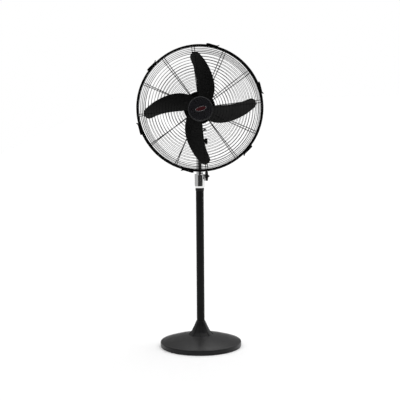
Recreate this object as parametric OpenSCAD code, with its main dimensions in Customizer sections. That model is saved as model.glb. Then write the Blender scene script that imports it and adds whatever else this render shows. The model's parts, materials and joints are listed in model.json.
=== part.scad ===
// Pedestal fan: an industrial stand fan with a telescopic column, an oscillating head and a wire guard.
// Frame: +Z up, origin at the bottom centre of the base, the fan blows towards -Y.

/* [Overall] */
// Height of the fan axis above the floor
head_z = 1292; // [1077:1:1550]
// Outer diameter of the round base
base_d = 438; // [364:1:526]
// Outer diameter of the wire guard
guard_d = 660; // [550:1:792]

/* [Base] */
// Height of the vertical rim, pad included
rim_h = 26; // [22:0.5:32]
// Rise of the dome from the rim to the neck
dome_rise = 38; // [32:0.5:46]
// Wall of the casting
base_wall = 8; // [6.5:0.5:10]
// Height of the neck above the floor
neck_h = 139; // [128:1:168]
// Number of webs round the neck
web_n = 8; // [4:2:10]

/* [Column] */
// Outer diameter of the column tube
column_d = 42.4; // [40:0.1:51]
// Wall of the column tube
column_wall = 2.9; // [2.4:0.1:3.5]
// Outer diameter of the sliding tube
slide_d = 34; // [28:0.1:34.4]
// Wall of the sliding tube
slide_wall = 2; // [1.6:0.1:2.4]
// Height of the clamp collar
collar_h = 73; // [68:1:88]
// Diameter of the height knob
knob_d = 51; // [42:1:60]

/* [Motor] */
// Outer diameter of the motor
motor_d = 140; // [136:1:168]
// Diameter of the motor shaft
shaft_d = 12; // [10:0.5:14.4]
// Diameter of the swivel spindle
spindle_d = 14; // [12:0.5:14.5]
// Length of the rear cover
cover_l = 90; // [86:1:106]
// Swing of the head to each side, in degrees
swing = 35; // [25:1:38]

/* [Blades] */
// Number of blades
blade_n = 4; // [3:1:5]
// Pitch of the blades, in degrees
pitch = 24; // [18:1:28]
// Thickness of a blade
blade_t = 3; // [2.4:0.1:3.6]
// Diameter of the blade hub
hub_d = 96; // [84:1:112]

/* [Guard] */
// Diameter of the ring wires
ring_d = 2.2; // [1.8:0.1:2.6]
// Diameter of the spoke wires
spoke_d = 4; // [3.6:0.1:4.8]
// Diameter of the rim wires
rim_d = 10; // [8:0.1:11]
// Number of spokes in each half
spoke_n = 12; // [10:2:14]
// Depth of the front half
front_depth = 70; // [66:1:74]
// Diameter of the centre badge
badge_d = 128; // [124:1:140]

/* [Hidden] */
$fn = 96;

fit = 0.05;        // radial clearance of a running or sliding fit
seat = 0.02;       // radial clearance of a fixed fit
gap = 0.3;         // clearance between parts that pass each other

base_r = base_d / 2;
column_r = column_d / 2;
column_in = column_r - column_wall;
slide_r = slide_d / 2;
pad_h = 4;
foot_z = 60;                     // floor of the socket in the base
column_top = head_z - 395;
collar_z = head_z - 428;
collar_r = column_r + 6;
collar_top = collar_z + collar_h;
knob_z = collar_top - 11;
slide_bottom = collar_z - min(330, 0.38 * column_top);
fork_z = head_z - 255;
slide_top = head_z - 215;
tilt_z = head_z - 178;
neck_top = head_z - 118;
cheek_in = 15.5;
cheek_out = 23.5;
tongue_x = cheek_in - 0.8;
spindle_r = spindle_d / 2;
bush_r = spindle_r + 2;
barrel_r = 20;

motor_r = motor_d / 2;
shaft_r = shaft_d / 2;
shell_t = 3;
lug_r = motor_r + 4.7;            // circle of the long screws through both shells
cover_y = 60;                    // rear face of the motor
front_y = 50;                    // front face of the motor, ahead of the column axis

worm_r = shaft_r + 2;
gear_x = 26;                     // clutch shaft, beside the motor shaft
gear_y = 84;
wheel_r = gear_x - worm_r - gap;
pinion_r = 5;
crank_y = 92;
crank_gear_r = norm([gear_x, crank_y - gear_y]) - pinion_r - gap;

// Oscillating link: a crank on the head, an ear on the neck and a bar between them.
ear_x = 30;
reach_out = sqrt(pow(crank_y, 2) + pow(ear_x, 2) + 2 * crank_y * ear_x * sin(swing));
reach_in = sqrt(pow(crank_y, 2) + pow(ear_x, 2) - 2 * crank_y * ear_x * sin(swing));
link_l = (reach_out + reach_in) / 2;
crank_r = (reach_out - reach_in) / 2;
reach_0 = norm([ear_x, crank_y]);
link_a = atan2(crank_y, -ear_x)
  - acos((pow(reach_0, 2) + pow(link_l, 2) - pow(crank_r, 2)) / (2 * reach_0 * link_l));
pin_pos = [ear_x + link_l * cos(link_a), link_l * sin(link_a)];
link_z = neck_top + 1.5;

// Guard, in the head frame: radius from the fan axis and distance u ahead of the column axis.
rim_u = 130;
rim_r = guard_d / 2 - rim_d / 2;
shoulder_r = rim_r - 50;
front_in_r = badge_d / 2 - 6;
rear_in_r = 80;
ring_pitch = 14.5;
plate_t = 2;
rear_rim_u = rim_u - rim_d / 2 - 0.05;
front_rim_u = rim_u + rim_d / 2 + 0.05;
front_in_u = front_rim_u + front_depth;
rear_in_u = front_y + plate_t + 2.5 + seat;
rear_h = rear_rim_u - rear_in_u;  // depth of the rear half
clip_a = 12;
clip_l = 62;
clip_w = rim_d + 2.8;            // half width of a clip

blade_u = 120;                   // middle of the blades
blade_r = guard_d / 2 - 38;
hub_r = hub_d / 2;
camber = 255;                    // radius of the blade's hollow, which faces forward
hub_back = 92;
hub_front = 150;

module head() { translate([0, 0, head_z]) rotate([90, 0, 0]) children(); }
module tube(ro, ri, h) {
  difference() {
    cylinder(r = ro, h = h);
    translate([0, 0, -1]) cylinder(r = ri, h = h + 2);
  }
}
module along_x(x, y, z) { translate([x, y, z]) rotate([0, 90, 0]) children(); }
module along_y(x, y, z) { translate([x, y, z]) rotate([-90, 0, 0]) children(); }
module around(n, r, a0 = 0) { for (i = [0:n - 1]) rotate([0, 0, a0 + i * 360 / n]) translate([r, 0, 0]) children(); }
module lobed(r, n, h, lobe) {
  linear_extrude(height = h) union() {
    circle(r = r - lobe * 0.55);
    for (i = [0:n - 1]) rotate(i * 360 / n) translate([r - lobe, 0]) circle(r = lobe, $fn = 32);
  }
}

// ---- base and column ----

dome_R = (pow(base_r - 4, 2) - pow(62, 2)) / (2 * dome_rise);
function dome(r) = rim_h + (pow(base_r - 4, 2) - pow(r, 2)) / (2 * dome_R);
dome_n = 14;

module base_casting() {
  color([0.16, 0.16, 0.17])
  difference() {
    union() {
      rotate_extrude() polygon(concat(
        [[base_r - 2, pad_h], [base_r, pad_h + 2], [base_r, rim_h - 4]],
        [for (a = [15:15:90]) [base_r - 4 + 4 * cos(a), rim_h - 4 + 4 * sin(a)]],
        [for (i = [1:dome_n]) let (r = base_r - 4 - i * (base_r - 4 - 62) / dome_n) [r, dome(r)]],
        [[54, dome(62) + 4], [44, dome(62) + 11], [36, dome(62) + 24],
         [column_r + 7, dome(62) + 44], [column_r + 3.4, neck_h - 4], [column_r + 2, neck_h],
         [0, neck_h], [0, foot_z - 24], [36, foot_z - 24], [36, dome(36) - base_wall]],
        [for (i = [dome_n:-1:0]) let (r = 36 + (dome_n - i) * (base_r - 10 - 36) / dome_n)
          [r, dome(r) - base_wall - (i == 0 ? 4 : 0)]],
        [[base_r - 10, pad_h]]
      ));
      around(web_n, 0) rotate([90, 0, 0]) translate([0, 0, -3]) linear_extrude(height = 6)
        polygon([[column_r + 2.4, neck_h - 3], [48, neck_h - 53], [58, dome(62) + 12], [67, dome(67) - 2],
          [30, dome(62) - 4], [column_r + 1, dome(62) + 8]]);
    }
    translate([0, 0, foot_z]) cylinder(r = column_r + fit, h = neck_h);
    translate([0, 0, foot_z - 30]) cylinder(r = 6.5, h = 40);
  }
}

module foot_ring() {
  color([0.05, 0.05, 0.05]) tube(base_r - 2.5, base_r - 10, pad_h);
}

module base_bolt() {
  color("silver") {
    translate([0, 0, foot_z - 34]) cylinder(r = 10.5, h = 7.5, $fn = 6);
    translate([0, 0, foot_z - 26.5]) cylinder(r = 14, h = 2.5);
    translate([0, 0, foot_z - 27]) cylinder(r = 6, h = 44);
  }
}

module column_plug() {
  color("silver") translate([0, 0, foot_z]) tube(column_in - seat, 6 + seat, 20);
}

module column_tube() {
  color([0.09, 0.09, 0.1]) translate([0, 0, foot_z]) tube(column_r, column_in, column_top - foot_z);
}

module column_ring() {
  color([0.04, 0.04, 0.04]) translate([0, 0, collar_z - 16]) tube(column_r + 1.8, column_r + seat, 16);
}

module height_collar() {
  color([0.86, 0.87, 0.88])
  difference() {
    union() {
      translate([0, 0, collar_z]) rotate_extrude() polygon([
        [0, 0], [column_r + 2.4, 0], [column_r + 3, 1.5], [column_r + 3.4, 3], [collar_r, 15],
        [collar_r, collar_h - 2.5], [collar_r - 0.8, collar_h - 0.8], [collar_r - 2.5, collar_h], [0, collar_h]
      ]);
      along_x(slide_r + 4, 0, knob_z) cylinder(r = 9, h = collar_r + 1.8 - slide_r - 4);
    }
    translate([0, 0, collar_z - 1]) cylinder(r = column_r + fit, h = collar_h - 8);
    translate([0, 0, collar_z - 1]) cylinder(r = slide_r + 1, h = collar_h + 2);
    along_x(0, 0, knob_z) cylinder(r = 5 + fit, h = 60);
  }
}

module collar_bush() {
  color([0.1, 0.1, 0.1])
  difference() {
    translate([0, 0, column_top]) tube(column_r, slide_r + fit, collar_top - 9.1 - column_top);
    along_x(0, 0, knob_z) cylinder(r = 5.6, h = 60);
  }
}

module height_knob() {
  color([0.05, 0.05, 0.05])
  difference() {
    along_x(collar_r + 2.1, 0, knob_z) lobed(knob_d / 2, 6, 15, 8);
    along_x(0, 0, knob_z) cylinder(r = 5 + seat, h = 80);
  }
}

module height_screw() {
  color([0.12, 0.12, 0.12]) {
    along_x(slide_r + gap, 0, knob_z) cylinder(r = 5, h = collar_r + 18 - slide_r);
    along_x(collar_r + 17.1, 0, knob_z) cylinder(r = 7, h = 4, $fn = 6);
    along_x(collar_r + 21.1, 0, knob_z) cylinder(r1 = 5.6, r2 = 1.5, h = 5);
  }
}

// ---- sliding tube and tilt fork ----

module inner_tube() {
  color([0.8, 0.81, 0.82])
  difference() {
    translate([0, 0, slide_bottom]) tube(slide_r, slide_r - slide_wall, slide_top - slide_bottom);
    along_y(0, 0, fork_z + 17) cylinder(r = 3 + fit, h = 40);
  }
}

module tube_guide() {
  color([0.1, 0.1, 0.1]) translate([0, 0, slide_bottom + 2]) tube(column_in - fit, slide_r + seat, 28);
}

module tube_fork() {
  color([0.07, 0.07, 0.07])
  difference() {
    union() {
      translate([0, 0, fork_z]) cylinder(r = slide_r + 7, h = slide_top + 6 - fork_z);
      for (s = [-1, 1]) {
        translate([s > 0 ? cheek_in : -cheek_out, -20, slide_top - 12])
          cube([cheek_out - cheek_in, 40, tilt_z - slide_top + 12]);
        along_x(s > 0 ? cheek_in : -cheek_out, 0, tilt_z) cylinder(r = 20, h = cheek_out - cheek_in);
      }
    }
    translate([0, 0, fork_z - 1]) cylinder(r = slide_r + seat, h = slide_top - fork_z + 1);
    along_x(-40, 0, tilt_z) cylinder(r = 5 + fit, h = 80);
    along_y(0, 0, fork_z + 17) cylinder(r = 3 + fit, h = 40);
  }
}

module fork_screw() {
  color("silver") {
    along_y(0, slide_r - 1, fork_z + 17) cylinder(r = 3, h = 9);
    along_y(0, slide_r + 7.1, fork_z + 17) cylinder(r = 6, h = 4, $fn = 6);
  }
}

module tilt_bolt() {
  color("silver") {
    along_x(-cheek_out - 6.6, 0, tilt_z) cylinder(r = 9, h = 6.5, $fn = 6);
    along_x(-cheek_out - 1, 0, tilt_z) cylinder(r = 5, h = 2 * cheek_out + 12);
  }
}

module tilt_washers() {
  color([0.85, 0.85, 0.8])
  for (s = [-1, 1]) along_x(s > 0 ? tongue_x + 0.05 : -cheek_in + 0.05, 0, tilt_z) tube(16, 5 + fit, 0.7);
}

module tilt_knob() {
  color([0.05, 0.05, 0.05])
  difference() {
    along_x(cheek_out + gap, 0, tilt_z) union() {
      cylinder(r = 9, h = 6);
      translate([0, 0, 5]) lobed(16, 5, 14, 6);
    }
    along_x(0, 0, tilt_z) cylinder(r = 5 + fit, h = cheek_out + 12.2);
  }
}

// ---- neck, swivel and link ----

module tilt_neck() {
  color([0.07, 0.07, 0.07])
  difference() {
    union() {
      along_x(-tongue_x, 0, tilt_z) cylinder(r = 18, h = 2 * tongue_x);
      translate([-tongue_x, -16, tilt_z]) cube([2 * tongue_x, 32, 29]);
      translate([0, 0, tilt_z + 27]) cylinder(r = barrel_r, h = neck_top - tilt_z - 27);
      translate([0, 0, neck_top - 6]) cylinder(r = 24, h = 6);
      translate([0, -8, neck_top - 6]) cube([ear_x, 16, 6]);
      translate([ear_x, 0, neck_top - 6]) cylinder(r = 8, h = 6);
      translate([ear_x, 0, neck_top - 1]) cylinder(r = 5, h = 2.2);
      translate([ear_x, 0, neck_top - 1]) cylinder(r = 3, h = 8.5);
    }
    translate([0, 0, tilt_z + 31]) cylinder(r = bush_r + seat, h = 60);
    along_x(-40, 0, tilt_z) cylinder(r = 5 + fit, h = 80);
    along_y(0, 0, tilt_z + 41) cylinder(r = 2.5 + seat, h = 40);
  }
}

module swivel_bush() {
  color([0.72, 0.5, 0.25])
  difference() {
    union() {
      translate([0, 0, tilt_z + 31.5]) cylinder(r = bush_r, h = neck_top - tilt_z - 31);
      translate([0, 0, neck_top]) cylinder(r = 14, h = 2);
    }
    translate([0, 0, tilt_z + 30]) cylinder(r = spindle_r + fit, h = 60);
    along_y(0, 0, tilt_z + 41) cylinder(r = 2.6, h = 40);
  }
}

module swivel_keeper() {
  color("silver") {
    along_y(0, spindle_r - 1.2, tilt_z + 41) cylinder(r = 2.5, h = barrel_r - spindle_r + 2);
    along_y(0, barrel_r + 0.1, tilt_z + 41) cylinder(r = 4.5, h = 3.5);
  }
}

module link_bar() {
  color([0.6, 0.6, 0.62])
  translate([ear_x, 0, link_z]) rotate([0, 0, link_a])
  difference() {
    union() {
      cylinder(r = 7, h = 3);
      translate([0, -5, 0]) cube([link_l, 10, 3]);
      translate([link_l, 0, 0]) cylinder(r = 7, h = 3);
    }
    translate([0, 0, -1]) cylinder(r = 3 + fit, h = 6);
    translate([link_l, 0, -1]) cylinder(r = 3 + fit, h = 6);
  }
}

module motor_cradle() {
  color([0.07, 0.07, 0.07])
  difference() {
    union() {
      translate([0, 0, neck_top + 2.05]) cylinder(r = 14, h = 40);
      translate([-34, -14, head_z - motor_r - 14]) cube([68, 50, 28]);
    }
    head() translate([0, 0, -80]) cylinder(r = motor_r + seat, h = 160);
    translate([0, 0, neck_top]) cylinder(r = spindle_r + seat, h = head_z - motor_r - 8 - neck_top);
    for (s = [-1, 1]) translate([s * 22, 24, head_z - motor_r - 20]) cylinder(r = 2.5 + seat, h = 60);
  }
}

module screw_m5() {
  cylinder(r = 4.5, h = 4);
  translate([0, 0, 3]) cylinder(r = 2.5, h = 23);
}
module head_screws() {
  color("silver") {
    for (s = [-1, 1]) translate([s * 22, 24, head_z - motor_r - 18]) screw_m5();
    head() around(4, lug_r, 45) translate([0, 0, 31.1]) mirror([0, 0, 1]) screw_m5();
  }
}

module swivel_spindle() {
  color([0.75, 0.75, 0.77])
  difference() {
    translate([0, 0, tilt_z + 32]) cylinder(r = spindle_r, h = head_z - motor_r - 8.5 - tilt_z - 32);
    translate([0, 0, tilt_z + 38]) tube(spindle_r + 1, spindle_r - 1.6, 6);
  }
}

// ---- motor ----

module motor_front_shell() {
  color([0.1, 0.1, 0.1])
  head() difference() {
    union() {
      translate([0, 0, 15]) cylinder(r = motor_r, h = front_y - 15);
      translate([0, 0, 44]) cylinder(r = 22, h = 14);
      around(4, lug_r, 45) translate([0, 0, 15]) cylinder(r = 6, h = 12, $fn = 32);
    }
    translate([0, 0, 14]) cylinder(r = motor_r - shell_t, h = front_y - 4 - 14);
    translate([0, 0, 40]) cylinder(r = shaft_r + 10 + seat, h = 16);
    translate([0, 0, 40]) cylinder(r = shaft_r + 2, h = 30);
    around(4, 56, 45) cylinder(r = 2.5 + seat, h = 60, $fn = 32);
    around(4, lug_r, 45) cylinder(r = 2.5 + seat, h = 60, $fn = 32);
    around(8, 36) translate([0, -4, 40]) cube([14, 8, 20]);
  }
}

module motor_rear_shell() {
  color([0.1, 0.1, 0.1])
  difference() {
    head() difference() {
      union() {
        translate([0, 0, -cover_y]) cylinder(r = motor_r, h = cover_y + 15);
        around(4, lug_r, 45) translate([0, 0, 3]) cylinder(r = 6, h = 12, $fn = 32);
      }
      difference() {
        translate([0, 0, 4 - cover_y]) cylinder(r = motor_r - shell_t, h = cover_y + 20);
        translate([0, 0, -cover_y]) cylinder(r = 19, h = 12);
      }
      translate([0, 0, 3 - cover_y]) cylinder(r = shaft_r + 8 + seat, h = 20);
      translate([0, 0, -cover_y - 1]) cylinder(r = shaft_r + 3, h = 20);
      around(4, lug_r, 45) cylinder(r = 2.5 + seat, h = 60, $fn = 32);
      around(8, 44) translate([0, -4, -cover_y - 1]) cube([16, 8, 6]);
    }
    for (s = [-1, 1]) translate([s * 22, 24, head_z - motor_r - 20]) cylinder(r = 2.5 + seat, h = 40);
  }
}

stator_in = motor_r * 0.57;

module stator_core() {
  color([0.5, 0.5, 0.52])
  head() translate([0, 0, -40]) difference() {
    cylinder(r = motor_r - shell_t - seat, h = 50);
    translate([0, 0, -1]) cylinder(r = stator_in, h = 52);
    for (s = [-1, 1]) rotate([0, 0, -90]) translate([motor_r - 8, s * 22 - 5, 10]) cube([10, 10, 12]);
  }
}

module stator_coils() {
  color([0.7, 0.35, 0.15])
  head() for (u = [-48.5, 10.1]) translate([0, 0, u]) rotate_extrude()
    polygon([[stator_in + 2, 0], [motor_r - 9, 0], [motor_r - 9, 6], [motor_r - 12, 8.4], [stator_in + 5, 8.4],
      [stator_in + 2, 6]]);
}

module shaft_bearings() {
  color("silver") head() {
    translate([0, 0, 46.5]) tube(shaft_r + 10, shaft_r + seat, 9);
    translate([0, 0, 3.1 - cover_y]) tube(shaft_r + 8, shaft_r + seat, 8.5);
  }
}

module capacitor() {
  color([0.85, 0.85, 0.85]) head() translate([-50, 0, -cover_y - 60]) cylinder(r = 14, h = 54);
}

module speed_switch() {
  color([0.2, 0.2, 0.22])
  head() difference() {
    translate([-16, -16, -cover_y - cover_l + 2.6]) cube([32, 32, 16]);
    translate([0, 0, -cover_y - cover_l]) cylinder(r = 3 + fit, h = 12);
  }
}

module speed_knob() {
  color([0.05, 0.05, 0.05])
  head() union() {
    translate([0, 0, -cover_y - cover_l - 18]) lobed(15, 8, 16, 5);
    translate([0, 0, -cover_y - cover_l - 5]) cylinder(r = 3, h = 16);
  }
}

module gearbox_housing() {
  color([0.62, 0.63, 0.64])
  difference() {
    translate([-32, cover_y, head_z - 44]) cube([80, 62, 70]);
    translate([-29, cover_y + 3, head_z - 41]) cube([74, 56, 80]);
    along_y(0, cover_y - 1, head_z) cylinder(r = worm_r + 1, h = 10);
    translate([0, crank_y, head_z - 50]) cylinder(r = 5 + fit, h = 20);
  }
}

module gearbox_cover() {
  color([0.62, 0.63, 0.64])
  difference() {
    translate([-32, cover_y + 0.2, head_z + 26]) cube([80, 61.6, 3]);
    translate([gear_x, gear_y, head_z + 20]) cylinder(r = 3 + fit, h = 20);
  }
}

module rear_cover() {
  color([0.08, 0.08, 0.08])
  difference() {
    along_y(0, cover_y + 0.05, head_z) cylinder(r = motor_r, h = cover_l);
    along_y(0, cover_y - 1, head_z) cylinder(r = motor_r - 2, h = cover_l - 1.5);
    along_y(0, cover_y, head_z) cylinder(r = 4, h = cover_l + 10);
    translate([0, crank_y, head_z - motor_r - 10]) cylinder(r = 8, h = 20);
    translate([-34, crank_y + 40, head_z - motor_r - 10]) cylinder(r = 6, h = 50);
    translate([gear_x, gear_y, head_z + 40]) cylinder(r = 4, h = 80);
    for (a = [-50, -30, -10, 10, 30, 50]) for (s = [-1, 1])
      translate([0, 0, head_z]) rotate([0, a, 0])
        translate([s > 0 ? motor_r - 6 : -motor_r - 6, cover_y + 24, -2.5]) cube([12, 44, 5]);
    for (s = [-1, 1]) along_y(s * 40, cover_y + 10, head_z + 40) cylinder(r = 2.5 + seat, h = cover_l);
  }
}

module cover_screws() {
  color("silver")
  for (s = [-1, 1]) {
    along_y(s * 40, cover_y + 0.1, head_z + 40) cylinder(r = 2.5, h = cover_l);
    along_y(s * 40, cover_y + cover_l + 0.1, head_z + 40) cylinder(r = 4.5, h = 3);
  }
}

module cord_gland() {
  color([0.05, 0.05, 0.05])
  translate([-34, crank_y + 40, head_z - sqrt(pow(motor_r, 2) - pow(34, 2))]) difference() {
    union() {
      translate([0, 0, -12]) cylinder(r = 8, h = 8);
      translate([0, 0, -5]) cylinder(r = 6 - seat, h = 18);
    }
    translate([0, 0, -20]) cylinder(r = 3.6, h = 50);
  }
}

// ---- oscillating gears ----

module clutch_gear() {
  color([0.9, 0.88, 0.8])
  translate([gear_x, gear_y, head_z]) {
    translate([0, 0, -38]) cylinder(r = 3, h = 58);
    translate([0, 0, -5]) linear_extrude(height = 10) difference() {
      circle(r = wheel_r);
      for (i = [0:29]) rotate(i * 12) translate([wheel_r - 0.5, 0]) square([2.4, 1.6], center = true);
    }
    translate([0, 0, -35]) linear_extrude(height = 12) difference() {
      circle(r = pinion_r);
      for (i = [0:7]) rotate(i * 45) translate([pinion_r, 0]) square([2.4, 1.5], center = true);
    }
  }
}

module crank() {
  color([0.7, 0.7, 0.72])
  union() {
    translate([0, crank_y, link_z + 6]) cylinder(r = 5, h = head_z - 16 - link_z - 6);
    translate([0, crank_y, head_z - 34]) linear_extrude(height = 8) difference() {
      circle(r = crank_gear_r);
      for (i = [0:35]) rotate(i * 10) translate([crank_gear_r - 0.5, 0]) square([2.4, 1.6], center = true);
    }
    translate([0, crank_y, link_z + 5.5]) cylinder(r = crank_r + 6, h = 5);
    translate([pin_pos[0], pin_pos[1], link_z + 3.5]) cylinder(r = 3, h = 4);
  }
}

module clutch_knob() {
  color([0.05, 0.05, 0.05])
  translate([gear_x, gear_y, head_z]) {
    translate([0, 0, 20.5]) cylinder(r = 3, h = motor_r);
    translate([0, 0, motor_r + 6]) cylinder(r = 9, h = 16);
  }
}

// ---- rotor and blades ----

module motor_shaft() {
  color([0.75, 0.75, 0.77])
  head() difference() {
    translate([0, 0, -96]) cylinder(r = shaft_r, h = 96 + hub_front + 12);
    translate([0, 0, hub_back + 8]) rotate([0, 90, 0]) translate([0, 0, -20]) cylinder(r = 2 + seat, h = 40);
  }
}

module rotor_core() {
  color([0.55, 0.55, 0.58]) head() translate([0, 0, -42]) tube(stator_in - 0.5, shaft_r + seat, 54);
}

module worm() {
  color([0.72, 0.6, 0.3])
  head() translate([0, 0, -94]) rotate_extrude() polygon(concat(
    [[shaft_r + seat, 0]],
    [for (i = [0:5]) for (p = [[worm_r - 1.3, 0.4], [worm_r, 1.2], [worm_r, 2], [worm_r - 1.3, 2.8]])
      [p[0], p[1] + i * 3.2]],
    [[shaft_r + seat, 20]]
  ));
}

function lead_a(r) = 43.8 + 0.36 * (r - 104) - 0.0006 * pow(r - 104, 2);
function tail_a(r) = 97 + 0.00035 * pow(r - 150, 2);
function pol(r, a) = [r * cos(a), r * sin(a)];
tip_r = 29;
blade_k = blade_r / 292;         // the outline is drawn for a 292 mm blade and scaled
tip_c = pol(292 - tip_r, 94.6);

module blade_outline() {
  scale(blade_k) polygon(concat(
    [for (r = [38:19:247]) pol(r, lead_a(r))],
    [for (a = [45:15:180]) tip_c + pol(tip_r, a + 4)],
    [for (r = [247:-19:38]) pol(r, tail_a(r))]
  ));
}

module blade() {
  intersection() {
    translate([0, 0, blade_u - 60]) linear_extrude(height = 120) blade_outline();
    rotate([0, 0, -4]) translate([0, 0, blade_u]) rotate([0, pitch, 0])
      translate([0, 0, camber + blade_t / 2]) rotate([-90, 0, 0]) tube(camber + blade_t, camber, blade_r + 40);
  }
}

module blade_set() {
  color([0.05, 0.05, 0.05])
  head() difference() {
    union() {
      for (i = [0:blade_n - 1]) rotate([0, 0, i * 360 / blade_n]) blade();
      translate([0, 0, hub_back]) rotate_extrude() polygon([
        [0, 0], [20, 0], [20, 6], [hub_r - 8, 14], [hub_r, 16], [hub_r, 46], [hub_r - 8, 56],
        [hub_r - 18, 58], [0, 58]
      ]);
    }
    translate([0, 0, hub_back - 1]) tube(hub_r - 5, 14, 50);
    translate([0, 0, hub_back - 1]) cylinder(r = shaft_r + 4, h = 80);
    translate([-16, -2.1, hub_back - 1]) cube([32, 4.2, 11.2]);
  }
}

module blade_insert() {
  color([0.72, 0.6, 0.3])
  head() difference() {
    translate([0, 0, hub_back]) tube(shaft_r + 4 - seat, shaft_r + seat, hub_front - hub_back);
    translate([-16, -2.1, hub_back - 1]) cube([32, 4.2, 11.2]);
  }
}

module drive_pin() {
  color("silver")
  head() translate([0, 0, hub_back + 8]) rotate([0, 90, 0]) translate([0, 0, -13]) cylinder(r = 2, h = 26);
}

module spinner_nut() {
  color([0.05, 0.05, 0.05])
  head() difference() {
    translate([0, 0, hub_front + 0.05]) rotate_extrude()
      polygon([[0, 0], [20, 0], [20, 3], [17, 4], [15, 14], [11, 17], [0, 18]]);
    translate([0, 0, hub_front - 1]) cylinder(r = shaft_r + seat, h = 14);
    around(6, 19) translate([0, 0, hub_front + 3]) cylinder(r = 3.2, h = 20, $fn = 32);
  }
}

// ---- guard ----

module guard_plate() {
  color([0.08, 0.08, 0.08])
  head() difference() {
    translate([0, 0, front_y]) tube(rear_in_r + 4, 23, plate_t);
    around(4, 56, 45) cylinder(r = 2.5 + seat, h = 60, $fn = 32);
  }
}

module guard_screws() {
  color("silver")
  head() around(4, 56, 45) {
    translate([0, 0, front_y - 5]) cylinder(r = 2.5, h = 8);
    translate([0, 0, front_y + plate_t + 0.05]) cylinder(r = 5, h = 3.5);
  }
}

module ring(r, h, d) { translate([0, 0, h]) rotate_extrude() translate([r, 0]) circle(r = d / 2, $fn = 48); }

// One spoke: a straight run on the face, a bend at the shoulder and a straight run to the rim.
// The bend is a little fatter than the runs, whose ends sit inside it.
module spoke(r0, h0, r1, h1, r2, h2, bend) {
  a1 = atan2(h1 - h0, r1 - r0);
  a2 = atan2(h2 - h1, r2 - r1);
  turn = a1 - a2;
  t = bend * tan(turn / 2);
  l1 = norm([r1 - r0, h1 - h0]) - t;
  l2 = norm([r2 - r1, h2 - h1]) - t;
  in = 0.6;
  rotate([90, 0, 0]) translate([r0, h0, 0]) rotate([0, 0, a1]) {
    rotate([0, 90, 0]) cylinder(h = l1 + in, r = spoke_d / 2, $fn = 48);
    translate([l1, -bend, 0]) {
      rotate([0, 0, 90 - turn]) rotate_extrude(angle = turn) translate([bend, 0])
        circle(r = spoke_d / 2 + 0.06, $fn = 48);
      rotate([0, 0, -turn]) translate([-in, bend, 0]) rotate([0, 90, 0])
        cylinder(h = l2 + in, r = spoke_d / 2, $fn = 48);
    }
  }
}

// The rings of half a guard, with its rim at height 0 and its face at height h_in. They lie on the outside of
// the spokes, spread evenly over the face and the side.
module dish_rings(r_in, h_in, h_sh, first_r) {
  off = (ring_d + spoke_d) / 2 + seat;
  af = atan2(h_sh - h_in, shoulder_r - r_in);
  as = atan2(-h_sh, rim_r - shoulder_r);
  side_l = norm([h_sh, rim_r - shoulder_r]);
  last_r = shoulder_r - 7;
  rings = round((last_r - first_r) / ring_pitch);
  for (i = [0:rings]) let (r = first_r + i * (last_r - first_r) / rings)
    ring(r, h_in + (r - r_in) * tan(af) + off / cos(af), ring_d);
  for (i = [0:4]) let (s = 9 + i * (side_l - 27) / 4)
    ring(shoulder_r + s * cos(as) - off * sin(as), h_sh + s * sin(as) + off * cos(as), ring_d);
}

// The frame of half a guard: rim, inner ring and spokes.
module dish(r_in, h_in, h_sh, a0) {
  ring(rim_r, 0, rim_d);
  ring(r_in, h_in, 5);
  for (i = [0:spoke_n - 1]) rotate([0, 0, a0 + i * 360 / spoke_n])
    spoke(r_in, h_in, shoulder_r, h_sh, rim_r, 0, 14);
}

module clip_frame(a) {
  rotate([0, 0, a + 11]) translate([guard_d / 2, 0, rim_u]) rotate([0, 0, -90]) children();
}

module rear_guard() {
  color([0.04, 0.04, 0.04])
  head() {
    translate([0, 0, rear_rim_u]) mirror([0, 0, 1])
      dish(rear_in_r, rear_h, rear_h - 8, 7.2);
    for (i = [0:5]) clip_frame(clip_a + 60 * i) difference() {
      translate([-4, -3, -rim_d - 1]) cube([8, 9, rim_d]);
      translate([0, 3.5, -20]) cylinder(r = 1.5 + fit, h = 40, $fn = 32);
    }
  }
}

module front_guard() {
  color([0.04, 0.04, 0.04])
  head() translate([0, 0, front_rim_u])
    dish(front_in_r, front_depth, front_depth - 11.5, 5);
}

module rear_rings() {
  color([0.04, 0.04, 0.04])
  head() translate([0, 0, rear_rim_u]) mirror([0, 0, 1])
    dish_rings(rear_in_r, rear_h, rear_h - 8, rear_in_r + 15);
}
module front_rings() {
  color([0.04, 0.04, 0.04])
  head() translate([0, 0, front_rim_u])
    dish_rings(front_in_r, front_depth, front_depth - 11.5, front_in_r + 16.5);
}

module guard_badge() {
  color([0.05, 0.05, 0.06])
  head() translate([0, 0, front_in_u + 2.55]) rotate_extrude() polygon(concat(
    [[0, 0], [badge_d / 2 - 1, 0], [badge_d / 2, 1]],
    [for (i = [10:-1:0]) [badge_d / 2 * i / 10, 4.4 - 2.6 * pow(i / 10, 2)]]
  ));
}

// Guard clip: a channel over both rim wires, on a pin through its lug. It follows the rim and its free end
// turns out as a finger tab.
module guard_clip(i) {
  color([0.06, 0.06, 0.06])
  head() clip_frame(clip_a + 60 * i) {
    for (w = [-clip_w, clip_w - 1.5]) translate([0, 0, w]) linear_extrude(height = 1.5)
      polygon([[-5, 1], [-3, -1.5], [2, -5], [26, -7], [50, -7.5], [clip_l, -0.5], [clip_l, 3.7], [50, -0.3],
        [6, 7], [-3, 7], [-5, 5]]);
    translate([0, 0, -clip_w]) linear_extrude(height = 2 * clip_w)
      polygon([[6, 5.5], [50, -1.8], [clip_l, 2.2], [clip_l, 3.7], [50, -0.3], [6, 7]]);
    translate([0, 3.5, -clip_w]) cylinder(r = 1.5, h = 2 * clip_w, $fn = 32);
  }
}

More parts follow.
